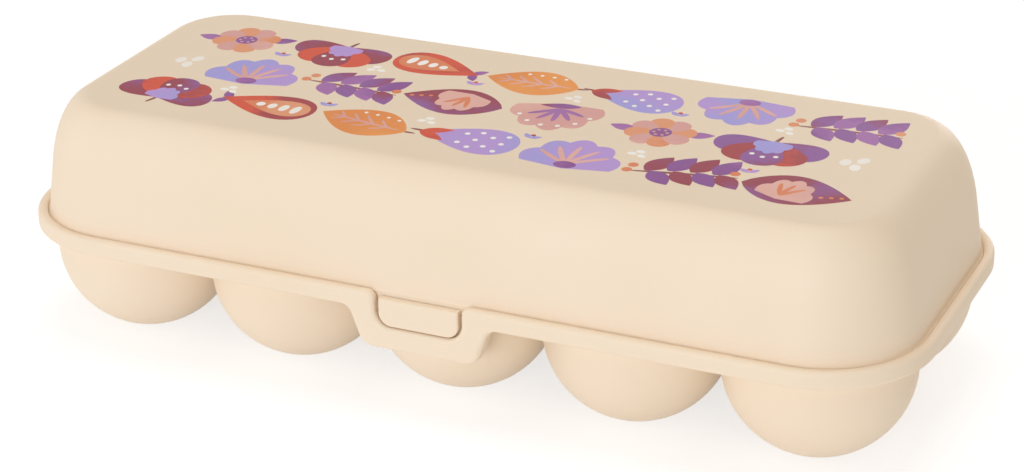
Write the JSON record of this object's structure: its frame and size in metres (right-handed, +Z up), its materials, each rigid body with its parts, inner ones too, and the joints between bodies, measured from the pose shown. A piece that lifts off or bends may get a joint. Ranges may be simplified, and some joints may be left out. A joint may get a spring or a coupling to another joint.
{
  "type": "egg keeper with flip lid",
  "caption": "Long rounded plastic egg keeper: a tray of round egg cups under a deep flip lid with snap hinges at the back and a tab latch at the front.",
  "frame": {"origin": "middle of the footprint, on the surface that the cups' feet stand on", "axes": "+X along the length, +Z up, the latch tab at the front faces -Y and the hinges are at +Y"},
  "size_m": [0.2612, 0.1184, 0.069],
  "materials": {
    "tray_plastic": "satin moulded cream polypropylene",
    "lid_plastic": "satin moulded cream polypropylene",
    "lid_print": "satin screen print"
  },
  "bodies": {
    "tray": {"egg_deck": "tray_plastic", "rim_band": "tray_plastic", "latch_tongue": "tray_plastic", "egg_cup_front_1": "tray_plastic", "egg_cup_front_2": "tray_plastic", "egg_cup_front_3": "tray_plastic", "egg_cup_front_4": "tray_plastic", "egg_cup_front_5": "tray_plastic", "egg_cup_rear_1": "tray_plastic", "egg_cup_rear_2": "tray_plastic", "egg_cup_rear_3": "tray_plastic", "egg_cup_rear_4": "tray_plastic", "egg_cup_rear_5": "tray_plastic", "hinge_bracket_left": "tray_plastic", "hinge_bracket_right": "tray_plastic"},
    "lid": {"lid_shell": "lid_plastic", "latch_tab": "lid_plastic", "hinge_clip_left": "lid_plastic", "hinge_clip_right": "lid_plastic"}
  },
  "joints": [
    {"name": "lid_hinge", "type": "hinge", "parent": "tray", "child": "lid", "pos_m": [0, 0.0556, 0.0347], "axis": [-1, 0, 0], "range_deg": [0, 180]}
  ]
}
